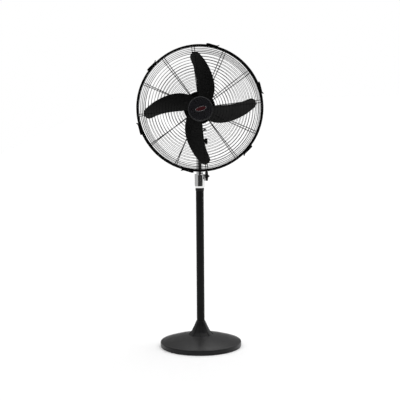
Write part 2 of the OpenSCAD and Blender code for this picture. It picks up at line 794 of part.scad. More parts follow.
module guard_clip_1() { guard_clip(0); }
module guard_clip_2() { guard_clip(1); }
module guard_clip_3() { guard_clip(2); }
module guard_clip_4() { guard_clip(3); }
module guard_clip_5() { guard_clip(4); }
module guard_clip_6() { guard_clip(5); }

base_casting();
foot_ring();
base_bolt();
column_plug();
column_tube();
column_ring();
height_collar();
collar_bush();
height_knob();
height_screw();
inner_tube();
tube_guide();
tube_fork();
fork_screw();
tilt_bolt();
tilt_washers();
tilt_knob();
tilt_neck();
swivel_bush();
swivel_keeper();
link_bar();
motor_cradle();
head_screws();
swivel_spindle();
motor_front_shell();
motor_rear_shell();
stator_core();
stator_coils();
shaft_bearings();
capacitor();
speed_switch();
speed_knob();
gearbox_housing();
gearbox_cover();
rear_cover();
cover_screws();
cord_gland();
clutch_gear();
crank();
clutch_knob();
motor_shaft();
rotor_core();
worm();
blade_set();
blade_insert();
drive_pin();
spinner_nut();
guard_plate();
guard_screws();
rear_guard();
front_guard();
rear_rings();
front_rings();
guard_badge();
guard_clip_1();
guard_clip_2();
guard_clip_3();
guard_clip_4();
guard_clip_5();
guard_clip_6();
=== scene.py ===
import json
import math

import bmesh
import bpy
from mathutils import Matrix, Vector


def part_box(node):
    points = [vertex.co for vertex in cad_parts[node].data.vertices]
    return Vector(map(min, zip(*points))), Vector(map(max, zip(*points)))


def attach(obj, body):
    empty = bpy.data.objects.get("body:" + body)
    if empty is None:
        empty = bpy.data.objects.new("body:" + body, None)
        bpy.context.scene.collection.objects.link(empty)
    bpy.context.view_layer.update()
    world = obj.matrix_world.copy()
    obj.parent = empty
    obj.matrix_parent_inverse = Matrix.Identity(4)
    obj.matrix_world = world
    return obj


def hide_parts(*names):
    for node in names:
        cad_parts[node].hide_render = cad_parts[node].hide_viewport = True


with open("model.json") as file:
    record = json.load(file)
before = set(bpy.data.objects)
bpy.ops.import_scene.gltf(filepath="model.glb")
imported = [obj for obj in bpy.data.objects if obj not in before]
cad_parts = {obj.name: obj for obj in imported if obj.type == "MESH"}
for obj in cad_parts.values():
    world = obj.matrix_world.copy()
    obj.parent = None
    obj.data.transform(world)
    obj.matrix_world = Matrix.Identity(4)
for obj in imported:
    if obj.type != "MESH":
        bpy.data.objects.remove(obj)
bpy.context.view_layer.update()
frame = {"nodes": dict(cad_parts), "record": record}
nodes = frame["nodes"]

MM = 0.001
HEAD_Z = 1292.0
sin, cos, pi, rad = math.sin, math.cos, math.pi, math.radians


# ---------------------------------------------------------------- materials


def new_mat(name):
    m = bpy.data.materials.new(name)
    m.use_nodes = True
    nt = m.node_tree
    bsdf = nt.nodes["Principled BSDF"]
    return m, nt, bsdf


def tex_coord(nt, scale=(1, 1, 1)):
    tc = nt.nodes.new("ShaderNodeTexCoord")
    mp = nt.nodes.new("ShaderNodeMapping")
    mp.inputs["Scale"].default_value = scale
    nt.links.new(tc.outputs["Object"], mp.inputs["Vector"])
    return mp.outputs["Vector"]


def noise(nt, vec, scale, detail=4.0, rough=0.55):
    n = nt.nodes.new("ShaderNodeTexNoise")
    n.inputs["Scale"].default_value = scale
    n.inputs["Detail"].default_value = detail
    n.inputs["Roughness"].default_value = rough
    nt.links.new(vec, n.inputs["Vector"])
    return n.outputs["Fac"]


def remap(nt, fac, lo, hi, a=0.3, b=0.7):
    r = nt.nodes.new("ShaderNodeMapRange")
    r.inputs["From Min"].default_value = a
    r.inputs["From Max"].default_value = b
    r.inputs["To Min"].default_value = lo
    r.inputs["To Max"].default_value = hi
    nt.links.new(fac, r.inputs["Value"])
    return r.outputs["Result"]


def ramp(nt, fac, stops):
    c = nt.nodes.new("ShaderNodeValToRGB")
    els = c.color_ramp.elements
    while len(els) < len(stops):
        els.new(0.5)
    for e, (p, col) in zip(els, stops):
        e.position = p
        e.color = (*col, 1)
    nt.links.new(fac, c.inputs["Fac"])
    return c.outputs["Color"]


def bump(nt, bsdf, fac, strength, distance, prev=None):
    b = nt.nodes.new("ShaderNodeBump")
    b.inputs["Strength"].default_value = strength
    b.inputs["Distance"].default_value = distance
    nt.links.new(fac, b.inputs["Height"])
    if prev is not None:
        nt.links.new(prev, b.inputs["Normal"])
    nt.links.new(b.outputs["Normal"], bsdf.inputs["Normal"])
    return b.outputs["Normal"]


def edge_mask(nt, lo=0.5, hi=0.62):
    """Lighter where a convex edge is rubbed."""
    g = nt.nodes.new("ShaderNodeNewGeometry")
    return remap(nt, g.outputs["Pointiness"], 0.0, 1.0, lo, hi)


def mix_col(nt, fac, a, b):
    m = nt.nodes.new("ShaderNodeMix")
    m.data_type = "RGBA"
    nt.links.new(fac, m.inputs["Factor"])
    for sock, v in ((m.inputs["A"], a), (m.inputs["B"], b)):
        if isinstance(v, tuple):
            sock.default_value = (*v, 1)
        else:
            nt.links.new(v, sock)
    return m.outputs["Result"]


def paint(name, dark, light, rough, peel=260.0, peel_s=0.12, spec=0.5, edge=None, dust=None):
    """Paint or powder coat: fine orange peel, patchy gloss, a little wear on edges, some dust on top."""
    m, nt, b = new_mat(name)
    v = tex_coord(nt)
    big = noise(nt, v, 7.0, 3.0)
    col = ramp(nt, big, [(0.3, dark), (0.7, light)])
    if edge:
        col = mix_col(nt, edge_mask(nt, 0.52, 0.66), col, edge)
    if dust:
        g = nt.nodes.new("ShaderNodeNewGeometry")
        sep = nt.nodes.new("ShaderNodeSeparateXYZ")
        nt.links.new(g.outputs["Normal"], sep.inputs["Vector"])
        up = remap(nt, sep.outputs["Z"], 0.0, 1.0, 0.55, 1.0)
        mul = nt.nodes.new("ShaderNodeMath")
        mul.operation = "MULTIPLY"
        nt.links.new(up, mul.inputs[0])
        nt.links.new(remap(nt, noise(nt, v, 45.0, 5.0), 0.1, dust[1]), mul.inputs[1])
        col = mix_col(nt, mul.outputs[0], col, dust[0])
    nt.links.new(col, b.inputs["Base Color"])
    nt.links.new(remap(nt, noise(nt, v, 34.0, 4.0), rough - 0.05, rough + 0.07), b.inputs["Roughness"])
    b.inputs["Specular IOR Level"].default_value = spec
    n1 = bump(nt, b, noise(nt, v, peel, 2.0), peel_s, 0.0004)
    bump(nt, b, noise(nt, v, peel * 5, 2.0), peel_s * 0.6, 0.0001, n1)
    return m


def metal(name, colour, rough, stretch=(1, 1, 1), scale=120.0, spread=0.06, bump_s=0.05, tint=0.06):
    """Bare or plated metal with fine directional marks."""
    m, nt, b = new_mat(name)
    v = tex_coord(nt, stretch)
    f = noise(nt, v, scale, 6.0, 0.65)
    lo = tuple(max(0.0, c * (1 - tint)) for c in colour)
    hi = tuple(min(1.0, c * (1 + tint)) for c in colour)
    nt.links.new(ramp(nt, f, [(0.3, lo), (0.7, hi)]), b.inputs["Base Color"])
    nt.links.new(remap(nt, f, rough - spread, rough + spread), b.inputs["Roughness"])
    b.inputs["Metallic"].default_value = 1.0
    bump(nt, b, f, bump_s, 0.0002)
    return m


def plastic(name, dark, light, rough, grain=900.0, grain_s=0.25, coat=0.0, spec=0.5):
    """Moulded plastic: spark-eroded grain, slight colour drift and handling shine."""
    m, nt, b = new_mat(name)
    v = tex_coord(nt)
    nt.links.new(ramp(nt, noise(nt, v, 9.0, 3.0), [(0.3, dark), (0.7, light)]), b.inputs["Base Color"])
    nt.links.new(remap(nt, noise(nt, v, 26.0, 4.0), rough - 0.06, rough + 0.08), b.inputs["Roughness"])
    b.inputs["Specular IOR Level"].default_value = spec
    if coat:
        b.inputs["Coat Weight"].default_value = coat
        b.inputs["Coat Roughness"].default_value = 0.08
    vor = nt.nodes.new("ShaderNodeTexVoronoi")
    vor.inputs["Scale"].default_value = grain
    nt.links.new(v, vor.inputs["Vector"])
    n1 = bump(nt, b, vor.outputs["Distance"], grain_s, 0.00012)
    bump(nt, b, noise(nt, v, 60.0, 2.0), 0.05, 0.0004, n1)
    return m


def laminated(name, colour, axis_scale, rough=0.45):
    """Stacked sheets or wound wire: bands along one axis."""
    m, nt, b = new_mat(name)
    v = tex_coord(nt)
    w = nt.nodes.new("ShaderNodeTexWave")
    w.bands_direction = "Y"
    w.inputs["Scale"].default_value = axis_scale
    w.inputs["Distortion"].default_value = 0.4
    nt.links.new(v, w.inputs["Vector"])
    lo = tuple(c * 0.55 for c in colour)
    nt.links.new(ramp(nt, w.outputs["Fac"], [(0.2, lo), (0.7, colour)]), b.inputs["Base Color"])
    nt.links.new(remap(nt, noise(nt, v, 60.0, 4.0), rough - 0.08, rough + 0.08), b.inputs["Roughness"])
    b.inputs["Metallic"].default_value = 0.9
    bump(nt, b, w.outputs["Fac"], 0.4, 0.0003)
    return m


MATS = {
    "base_paint": paint("base_paint", (0.005, 0.005, 0.0055), (0.009, 0.009, 0.01), 0.36, 210.0, 0.2, spec=0.24,
                        edge=(0.05, 0.05, 0.053), dust=((0.1, 0.098, 0.095), 0.06)),
    "column_paint": paint("column_paint", (0.01, 0.01, 0.01), (0.014, 0.014, 0.014), 0.36, 320.0, 0.1, spec=0.08),
    "rubber_pad": plastic("rubber_pad", (0.012, 0.012, 0.012), (0.02, 0.02, 0.02), 0.75, 700.0, 0.3),
    "steel": metal("steel", (0.56, 0.56, 0.58), 0.34),
    "dark_steel": metal("dark_steel", (0.045, 0.045, 0.05), 0.38),
    "black_plastic": plastic("black_plastic", (0.008, 0.008, 0.008), (0.012, 0.012, 0.012), 0.5, spec=0.3),
    "knob_plastic": plastic("knob_plastic", (0.006, 0.006, 0.006), (0.01, 0.01, 0.01), 0.5, 800.0, 0.35, spec=0.1),
    "chrome": metal("chrome", (0.77, 0.77, 0.77), 0.09, (1, 1, 8), 60.0, 0.04, 0.015, 0.03),
    "cast_black": paint("cast_black", (0.012, 0.012, 0.013), (0.022, 0.022, 0.024), 0.5, 150.0, 0.35,
                        edge=(0.06, 0.06, 0.062)),
    "nylon": plastic("nylon", (0.66, 0.64, 0.56), (0.74, 0.72, 0.65), 0.5, 500.0, 0.1),
    "bronze": metal("bronze", (0.58, 0.38, 0.16), 0.33),
    "motor_paint": paint("motor_paint", (0.008, 0.008, 0.009), (0.014, 0.014, 0.015), 0.45, 190.0, 0.25, spec=0.35,
                         edge=(0.055, 0.055, 0.058)),
    "lamination": laminated("lamination", (0.36, 0.36, 0.38), 300.0),
    "copper": laminated("copper", (0.62, 0.24, 0.09), 160.0, 0.32),
    "can_plastic": plastic("can_plastic", (0.62, 0.62, 0.61), (0.7, 0.7, 0.69), 0.4),
    "zinc": metal("zinc", (0.5, 0.51, 0.52), 0.42, scale=50.0, bump_s=0.15),
    "blade_plastic": plastic("blade_plastic", (0.0055, 0.0055, 0.0055), (0.008, 0.008, 0.008), 0.42, 1100.0, 0.1,
                             spec=0.2),
    "guard_paint": paint("guard_paint", (0.004, 0.004, 0.004), (0.007, 0.007, 0.007), 0.44, 400.0, 0.1, spec=0.05),
    "badge_gloss": plastic("badge_gloss", (0.01, 0.01, 0.012), (0.015, 0.015, 0.018), 0.2, 1400.0, 0.02, coat=0.7),
}
silver = metal("silver_print", (0.62, 0.62, 0.64), 0.3, scale=300.0)
red = plastic("red_print", (0.05, 0.004, 0.007), (0.075, 0.006, 0.009), 0.3, 1400.0, 0.02, coat=0.5)

slot_of = {s["node"]: s["material_slot"] for s in frame["record"]["subparts"]}


def give(obj, mat):
    obj.data.materials.clear()
    obj.data.materials.append(mat)


for name, obj in nodes.items():
    give(obj, MATS[slot_of[name]])
    bev = obj.modifiers.new("edge", "BEVEL")
    bev.width = 0.0005
    bev.segments = 2
    bev.limit_method = "ANGLE"
    bev.angle_limit = rad(40)
    bev.harden_normals = False


# ---------------------------------------------------------------- mesh helpers


def add(name, bm, slot, body, stands_for, sharp=40.0, mat=None):
    """Makes a piece from a bmesh in millimetres, gives it its material and rides it on its body."""
    bmesh.ops.remove_doubles(bm, verts=bm.verts, dist=1e-4)
    bmesh.ops.recalc_face_normals(bm, faces=bm.faces)
    bmesh.ops.scale(bm, vec=(MM, MM, MM), verts=bm.verts)
    limit = rad(sharp)
    for f in bm.faces:
        f.smooth = True
    for e in bm.edges:
        e.smooth = not (len(e.link_faces) == 2 and e.calc_face_angle(0.0) > limit)
    me = bpy.data.meshes.new(name)
    bm.to_mesh(me)
    bm.free()
    o = bpy.data.objects.new(name, me)
    bpy.context.scene.collection.objects.link(o)
    give(o, mat or MATS[slot])
    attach(o, body)
    if stands_for:
        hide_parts(*stands_for)
    return o


def rounded(points, seg=6):
    """A profile of (r, z) or (r, z, fillet) corners, with its corners rounded."""
    out = []
    n = len(points)
    for i, p in enumerate(points):
        fil = p[2] if len(p) > 2 else 0
        c = Vector(p[:2])
        if not fil or i in (0, n - 1):
            out.append(c)
            continue
        a, b = Vector(points[i - 1][:2]), Vector(points[i + 1][:2])
        u, v = (a - c), (b - c)
        lu, lv = u.length, v.length
        u.normalize()
        v.normalize()
        half = u.angle(v) / 2
        t = min(fil / math.tan(half), lu * 0.48, lv * 0.48)
        r = t * math.tan(half)
        mid = c + (u + v).normalized() * (r / sin(half))
        p0, p1 = c + u * t - mid, c + v * t - mid
        a0 = math.atan2(p0.y, p0.x)
        da = math.atan2(p1.y, p1.x) - a0
        da = (da + pi) % (2 * pi) - pi
        for k in range(seg + 1):
            w = a0 + da * k / seg
            out.append(mid + Vector((cos(w), sin(w))) * r)
    return out


def lathe(bm, profile, seg=160, mat=Matrix.Identity(4)):
    """Turns a closed or axis-to-axis profile of (r, z) about Z, then places it with mat."""
    rings = []
    for r, z in profile:
        if r < 1e-5:
            rings.append([bm.verts.new(mat @ Vector((0, 0, z)))])
        else:
            rings.append([bm.verts.new(mat @ Vector((r * cos(2 * pi * k / seg), r * sin(2 * pi * k / seg), z)))
                          for k in range(seg)])
    pairs = list(zip(rings, rings[1:]))
    if len(rings[0]) > 1 and len(rings[-1]) > 1:
        pairs.append((rings[-1], rings[0]))
    for a, b in pairs:
        for k in range(seg):
            k2 = (k + 1) % seg
            if len(a) > 1 and len(b) > 1:
                bm.faces.new((a[k], a[k2], b[k2], b[k]))
            elif len(a) > 1:
                bm.faces.new((a[k], a[k2], b[0]))
            elif len(b) > 1:
                bm.faces.new((a[0], b[k2], b[k]))


def sweep(bm, path, radius, sides=12):
    """A round wire along an open path. The frame is carried along so that the tube doesn't twist."""
    n = len(path)
    tang = []
    for i in range(n):
        tang.append((path[min(i + 1, n - 1)] - path[max(i - 1, 0)]).normalized())
    up = Vector((0, 0, 1)) if abs(tang[0].z) < 0.9 else Vector((1, 0, 0))
    side = tang[0].cross(up).normalized()
    rings = []
    for i in range(n):
        side = (side - tang[i] * side.dot(tang[i])).normalized()
        other = tang[i].cross(side)
        rings.append([bm.verts.new(path[i] + (side * cos(2 * pi * k / sides) + other * sin(2 * pi * k / sides)) * radius)
                      for k in range(sides)])
    for a, b in zip(rings, rings[1:]):
        for k in range(sides):
            k2 = (k + 1) % sides
            bm.faces.new((a[k], a[k2], b[k2], b[k]))
    bm.faces.new(rings[0])
    bm.faces.new(rings[-1])


def torus(bm, big, u, r, seg=192, sides=12, mat=Matrix.Identity(4), deep=None):
    """A ring wire round the fan axis. deep is its radial half width, where that isn't r."""
    rows = []
    for i in range(seg):
        a = 2 * pi * i / seg
        rows.append([bm.verts.new(mat @ Vector(((big + (deep or r) * cos(2 * pi * k / sides)) * cos(a),
                                                (big + (deep or r) * cos(2 * pi * k / sides)) * sin(a),
                                                u + r * sin(2 * pi * k / sides)))) for k in range(sides)])
    for i in range(seg):
        for k in range(sides):
            k2 = (k + 1) % sides
            bm.faces.new((rows[i][k], rows[(i + 1) % seg][k], rows[(i + 1) % seg][k2], rows[i][k2]))


def prism(bm, outline, z0, z1, mat=Matrix.Identity(4)):
    """An outline in x, y pushed from z0 to z1."""
    lo = [bm.verts.new(mat @ Vector((x, y, z0))) for x, y in outline]
    hi = [bm.verts.new(mat @ Vector((x, y, z1))) for x, y in outline]
    n = len(outline)
    for k in range(n):
        bm.faces.new((lo[k], lo[(k + 1) % n], hi[(k + 1) % n], hi[k]))
    bm.faces.new(lo)
    bm.faces.new(list(reversed(hi)))


HEAD = Matrix.Translation((0, 0, HEAD_Z)) @ Matrix.Rotation(rad(90), 4, "X")


def bevel(o, width, seg=3, angle=35):
    b = o.modifiers.new("round", "BEVEL")
    b.width = width * MM
    b.segments = seg
    b.limit_method = "ANGLE"
    b.angle_limit = rad(angle)
    return o


# ---------------------------------------------------------------- base

BASE_R, COL_R, RIM_H, NECK_H = 219.0, 21.2, 26.0, 139.0
DOME_R, DOME_TOP_R, DOME_RISE, WALL = BASE_R - 4, 62.0, 38.0, 8.0
dome_big = (DOME_R ** 2 - DOME_TOP_R ** 2) / (2 * DOME_RISE)


def dome(r):
    """Height of the top of the base at a radius."""
    return RIM_H + (DOME_R ** 2 - r * r) / (2 * dome_big)


bm = bmesh.new()
top = [DOME_R - i * (DOME_R - 66) / 30 for i in range(1, 31)]
prof = rounded([(BASE_R - 10, 4), (BASE_R, 4, 1.6), (BASE_R, RIM_H + 0.6, 5), (top[0], dome(top[0]))], 8)
prof += [Vector((r, dome(r))) for r in top]
prof += rounded([(64, dome(64)), (50, 80, 20), (39.5, 99.5, 30), (32, 113.5, 20),
                 (COL_R + 4.4, NECK_H - 7, 5), (COL_R + 3.2, NECK_H, 1.6), (COL_R + 0.1, NECK_H)], 8)
# column socket, bolt bore and boss, then the underside of the dome
SOCKET_Z, BOLT_R, BOSS_R, BOSS_Z = 60, 6.5, 36, 36
prof += [Vector((COL_R + 0.05, SOCKET_Z)), Vector((BOLT_R, SOCKET_Z)), Vector((BOLT_R, BOSS_Z)),
         Vector((BOSS_R, BOSS_Z)), Vector((BOSS_R, dome(BOSS_R) - WALL))]
prof += [Vector((r, dome(r) - WALL)) for r in (60, 90, 120, 150, 180, 200)] + [Vector((209, dome(209) - 12))]
lathe(bm, prof, 192)
add("base_shell", bm, "base_paint", "base", ["base_casting"])

bm = bmesh.new()
WEBS, WEB_T = 8, 6.0
web = [(COL_R + 3.0, NECK_H - 4), (COL_R + 5, NECK_H - 5), (35, 113), (42, 99), (48, 86.5), (53, 79.5), (58, 74),
       (63, 68.5), (70, dome(70) - 1.5), (30, 50), (COL_R + 3.0, 60)]
for i in range(WEBS):
    m = Matrix.Rotation(rad(360 / WEBS * i), 4, "Z") @ Matrix.Rotation(rad(90), 4, "X")
    prism(bm, web, -WEB_T / 2, WEB_T / 2, m)
bevel(add("base_webs", bm, "base_paint", "base", []), 1.6, 3, 30)

# ---------------------------------------------------------------- column, collar and sliding tube

bm = bmesh.new()
COLLAR_R, COLLAR_H, COLLAR_DROP, COLUMN_DROP = 27.2, 73, 428, 395
z0 = HEAD_Z - COLLAR_DROP
prof = rounded([(COL_R + 0.1, z0), (COL_R + 2.6, z0, 0.5), (COL_R + 4.4, z0 + 3, 1.5), (COLLAR_R, z0 + 10, 4),
                (COLLAR_R, z0 + COLLAR_H, 2.4), (18.2, z0 + COLLAR_H, 0.8), (18.0, z0 + COLLAR_H - 7, 1),
                (COL_R + 0.1, z0 + COLLAR_H - 9)], 8)
lathe(bm, prof, 128)
add("collar_shell", bm, "chrome", "base", ["height_collar"])
bm = bmesh.new()
along_x = Matrix.Translation((0, 0, z0 + COLLAR_H - 11)) @ Matrix.Rotation(rad(90), 4, "Y")
lathe(bm, rounded([(5.1, 24), (9, 24), (9, 29, 0.8), (5.1, 29)], 4), 48, along_x)
add("collar_boss", bm, "chrome", "base", [])

bm = bmesh.new()
TRIM_H, TRIM_R, TRIM_IN = 16, COL_R + 1.8, COL_R + 0.05
lathe(bm, rounded([(TRIM_IN, z0 - TRIM_H), (TRIM_R, z0 - TRIM_H, 0.7), (TRIM_R, z0, 0.7), (TRIM_IN, z0)], 5), 96)
add("column_trim", bm, "black_plastic", "base", ["column_ring"])

bm = bmesh.new()
COL_FOOT, COL_TOP, COL_IN = 60, HEAD_Z - COLUMN_DROP, COL_R - 2.9
lathe(bm, [Vector(p) for p in ((COL_R, COL_FOOT), (COL_R, COL_TOP), (COL_IN, COL_TOP), (COL_IN, COL_FOOT))], 96)
add("column_skin", bm, "column_paint", "base", ["column_tube"])

slide_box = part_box("inner_tube")
bm = bmesh.new()
lathe(bm, rounded([(15, slide_box[0].z / MM), (17, slide_box[0].z / MM, 0.5), (17, slide_box[1].z / MM, 0.5),
                   (15, slide_box[1].z / MM)], 3), 96)
add("slide_skin", bm, "chrome", "slide", ["inner_tube"])

# height knob: a six-lobed moulding with a dished face
bm = bmesh.new()
KNOB_N, KNOB_LOBES, KNOB_R, LOBE, BORE_R = 180, 6, 22.6, 2.8, 5.1
turns = [2 * pi * k / KNOB_N for k in range(KNOB_N)]


def knob_row(r_of, z):
    return [bm.verts.new(along_x @ Vector((r_of(a) * cos(a), r_of(a) * sin(a), z))) for a in turns]


def knob_band(a, b):
    for k in range(KNOB_N):
        bm.faces.new((a[k], a[(k + 1) % KNOB_N], b[(k + 1) % KNOB_N], b[k]))


rows = []
KNOB_BACK, KNOB_DISH = 29.5, 42.6
knob_section = [(KNOB_BACK, 0.9), (30.3, 0.965), (31.6, 1.0), (42.0, 1.0),
                (43.6, 0.965), (44.4, 0.9), (44.2, 0.62), (KNOB_DISH, 0.4)]
for z, share in knob_section:
    rows.append(knob_row(lambda a: (KNOB_R + LOBE * cos(KNOB_LOBES * a)) * share, z))
for a, b in zip(rows, rows[1:]):
    knob_band(a, b)
for row, z in ((rows[0], KNOB_BACK), (rows[-1], KNOB_DISH)):
    knob_band(row, knob_row(lambda a: BORE_R, z))
add("height_knob_body", bm, "knob_plastic", "height_lock", ["height_knob"])

# ---------------------------------------------------------------- blades


def lead_a(r):
    """Angle of the leading edge at a radius, in degrees."""
    return 43.8 + 0.36 * (r - 104) - 0.0006 * (r - 104) ** 2


def tail_a(r):
    """Angle of the trailing edge at a radius, in degrees."""
    return 97 + 0.00035 * (r - 150) ** 2


PITCH, CAMBER, BLADE_U, BLADE_T, TIP_R, SWEEP_R, BLADES = 24.0, 255.0, 120.0, 3.0, 29.0, 292.0, 4


def blade_height(x, y):
    """Middle of the CAD blade at x, y: a cylinder shell, tilted about the line at 86 degrees."""
    a = rad(-4)
    d = x * cos(a) + y * sin(a)
    # solve for the shell point whose tilted x is d
    p = rad(PITCH)
    s = d / cos(p)
    for _ in range(12):
        h = CAMBER + 1.5 - math.sqrt((CAMBER + 1.5) ** 2 - s * s)
        s = (d - h * sin(p)) / cos(p)
    h = CAMBER + 1.5 - math.sqrt((CAMBER + 1.5) ** 2 - s * s)
    return BLADE_U - s * sin(p) + h * cos(p)


def pol(r, a):
    return Vector((r * cos(rad(a)), r * sin(rad(a))))


tip_c = pol(SWEEP_R - TIP_R, 94.6)
stations = list(range(38, 248, 19))
outline = [pol(r, lead_a(r)) for r in stations]
outline += [tip_c + pol(TIP_R, a + 4) for a in range(45, 181, 5)]
outline += [pol(r, tail_a(r)) for r in reversed(stations)]


def blade_edge(r):
    """Leading and trailing angle where the outline crosses a radius."""
    hits = []
    for p, q in zip(outline, outline[1:]):
        a, b = p.length - r, q.length - r
        if a * b <= 0 and a != b:
            c = p + (q - p) * (a / (a - b))
            hits.append(math.degrees(math.atan2(c.y, c.x)))
    return min(hits), max(hits)


bm = bmesh.new()
NR, NC = 44, 18
ROOT_R, LAST_R = 40.0, SWEEP_R - 0.1
radii = [ROOT_R + (LAST_R - ROOT_R) * (1 - (1 - i / (NR - 1)) ** 1.7) for i in range(NR)]
for b in range(BLADES):
    rot = Matrix.Rotation(rad(360 / BLADES * b), 4, "Z")
    grid = []
    for i, r in enumerate(radii):
        la, ta = blade_edge(r)
        rows = []
        for j in range(NC):
            t = (1 - cos(pi * j / (NC - 1))) / 2
            a = rad(la + (ta - la) * t)
            x, y = r * cos(a), r * sin(a)
            u = blade_height(x, y)
            thick = BLADE_T * 0.5 * (0.28 + 0.72 * math.sqrt(max(0.0, 4 * t * (1 - t))))
            thick *= 1.25 if r < 70 else 1.0
            rows.append((x, y, u, thick))
        grid.append(rows)
    up = [[bm.verts.new(HEAD @ rot @ Vector((x, y, u + h))) for x, y, u, h in row] for row in grid]
    dn = [[bm.verts.new(HEAD @ rot @ Vector((x, y, u - h))) for x, y, u, h in row] for row in grid]
    for i in range(NR - 1):
        for j in range(NC - 1):
            bm.faces.new((up[i][j], up[i][j + 1], up[i + 1][j + 1], up[i + 1][j]))
            bm.faces.new((dn[i][j], dn[i + 1][j], dn[i + 1][j + 1], dn[i][j + 1]))
        for j in (0, NC - 1):
            bm.faces.new((up[i][j], up[i + 1][j], dn[i + 1][j], dn[i][j]))
    for i in (0, NR - 1):
        for j in range(NC - 1):
            bm.faces.new((up[i][j], up[i][j + 1], dn[i][j + 1], dn[i][j]))
add("blade_mouldings", bm, "blade_plastic", "rotor", ["blade_set"], sharp=60)
bm = bmesh.new()
prof = rounded([(10.1, 92), (14, 92, 0.8), (14, 142), (43, 138, 2), (43, 106.5), (48, 107.5, 1.2), (48, 138, 6),
                (40, 148, 6),
                (30, 150, 3), (10.1, 150)], 6)
lathe(bm, prof, 128, HEAD)
for i in range(8):
    m = HEAD @ Matrix.Rotation(rad(45 * i + 22), 4, "Z")
    prism(bm, [(13.5, -1.2), (43.5, -1.2), (43.5, 1.2), (13.5, 1.2)], 100, 141, m)
add("blade_hub", bm, "blade_plastic", "rotor", [])

# ---------------------------------------------------------------- guard

GUARD_R, RIM_U, RIM_D, SPOKE_D, RING_D = 330.0, 130.0, 10.0, 4.0, 2.2
RIM_DEEPER = 1.2
RING_PITCH, SPOKES, CLIPS, CLIP_A = 14.5, 12, 6, 23.0
RIM_R = GUARD_R - RIM_D / 2
SHOULDER = RIM_R - 50


def spoke_path(r0, h0, r1, h1, r2, h2, bend=14.0, seg=10):
    """A spoke's centre line in radius and height: two straight runs joined by an arc of radius bend."""
    a = Vector((r0, h0))
    b = Vector((r1, h1))
    c = Vector((r2, h2))
    u, v = (a - b).normalized(), (c - b).normalized()
    half = u.angle(v) / 2
    t = bend / math.tan(half)
    mid = b + (u + v).normalized() * (bend / sin(half))
    p0, p1 = b + u * t - mid, b + v * t - mid
    a0 = math.atan2(p0.y, p0.x)
    da = (math.atan2(p1.y, p1.x) - a0 + pi) % (2 * pi) - pi
    arc = [mid + Vector((cos(a0 + da * k / seg), sin(a0 + da * k / seg))) * bend for k in range(seg + 1)]
    run = [a + (arc[0] - a) * k / 6 for k in range(6)]
    end = [arc[-1] + (c - arc[-1]) * k / 4 for k in range(1, 5)]
    return run + arc + end


def dish(bm, place, r_in, h_in, h_sh, first_r, a0):
    """One guard half: inner ring at r_in and height h_in, shoulder at h_sh, rim at 0, rings from first_r out."""
    off = (RING_D + SPOKE_D) / 2 - 0.25
    af = math.atan2(h_sh - h_in, SHOULDER - r_in)
    aside = math.atan2(-h_sh, RIM_R - SHOULDER)
    side_l = math.hypot(h_sh, RIM_R - SHOULDER)
    last_r = SHOULDER - 7
    rings = round((last_r - first_r) / RING_PITCH)
    welds = []
    for i in range(rings + 1):
        r = first_r + i * (last_r - first_r) / rings
        torus(bm, r, h_in + (r - r_in) * math.tan(af) + off / cos(af), RING_D / 2, 160, 10, place)
        welds.append((r, h_in + (r - r_in) * math.tan(af) + off / cos(af) / 2))
    for i in range(5):
        s = 9 + i * (side_l - 27) / 4
        torus(bm, SHOULDER + s * cos(aside) - off * sin(aside), h_sh + s * sin(aside) + off * cos(aside),
              RING_D / 2, 160, 10, place)
        welds.append((SHOULDER + s * cos(aside) - off * sin(aside) / 2, h_sh + s * sin(aside) + off * cos(aside) / 2))
    torus(bm, RIM_R - RIM_DEEPER, 0, RIM_D / 2, 224, 16, place, RIM_D / 2 + RIM_DEEPER)
    torus(bm, r_in, h_in, 2.5, 96, 12, place)
    flat = spoke_path(r_in, h_in, SHOULDER, h_sh, RIM_R, 0)
    for i in range(SPOKES):
        a = rad(a0 + i * 360 / SPOKES)
        pts = [place @ Vector((p.x * cos(a), p.x * sin(a), p.y)) for p in flat]
        sweep(bm, pts, SPOKE_D / 2, 12)
        # flattened beads of weld where each ring crosses the spoke
        for r, h in welds:
            c = Vector((r * cos(a), r * sin(a), h))
            bead = bmesh.ops.create_icosphere(bm, subdivisions=2, radius=1.0)
            rm = place @ Matrix.Translation(c) @ Matrix.Rotation(a, 4, "Z") @ Matrix.Diagonal((1.9, 2.3, 1.7, 1))
            bmesh.ops.transform(bm, matrix=rm, verts=bead["verts"])


rear_u = RIM_U - RIM_D / 2 - 0.05
front_u = RIM_U + RIM_D / 2 + 0.05
rear_in_u = 54.52
FRONT_H = 70.0
front_in_u = front_u + FRONT_H
REAR_IN_R, REAR_FIRST_R, REAR_A = 80.0, 95.0, 7.2
FRONT_IN_R, FRONT_FIRST_R, FRONT_A = 58.0, 74.5, 5.0
REAR_SLOPE, FRONT_SLOPE = 8.0, 11.5
bm = bmesh.new()
flip = HEAD @ Matrix.Translation((0, 0, rear_u)) @ Matrix.Diagonal((1, 1, -1, 1))
dish(bm, flip, REAR_IN_R, rear_u - rear_in_u, rear_u - rear_in_u - REAR_SLOPE, REAR_FIRST_R, REAR_A)
clip_places = []
for i in range(CLIPS):
    turned = HEAD @ Matrix.Rotation(rad(CLIP_A + 360 / CLIPS * i), 4, "Z")
    clip_places.append(turned @ Matrix.Translation((GUARD_R, 0, RIM_U)) @ Matrix.Rotation(rad(-90), 4, "Z"))
    prism(bm, [(-4, -3), (4, -3), (4, 4.5), (2, 6), (-2, 6), (-4, 4.5)], -11, -1, clip_places[-1])
add("rear_guard_wires", bm, "guard_paint", "head", ["rear_guard", "rear_rings"], sharp=50)
bm = bmesh.new()
place = HEAD @ Matrix.Translation((0, 0, front_u))
dish(bm, place, FRONT_IN_R, FRONT_H, FRONT_H - FRONT_SLOPE, FRONT_FIRST_R, FRONT_A)
add("front_guard_wires", bm, "guard_paint", "head", ["front_guard", "front_rings"], sharp=50)

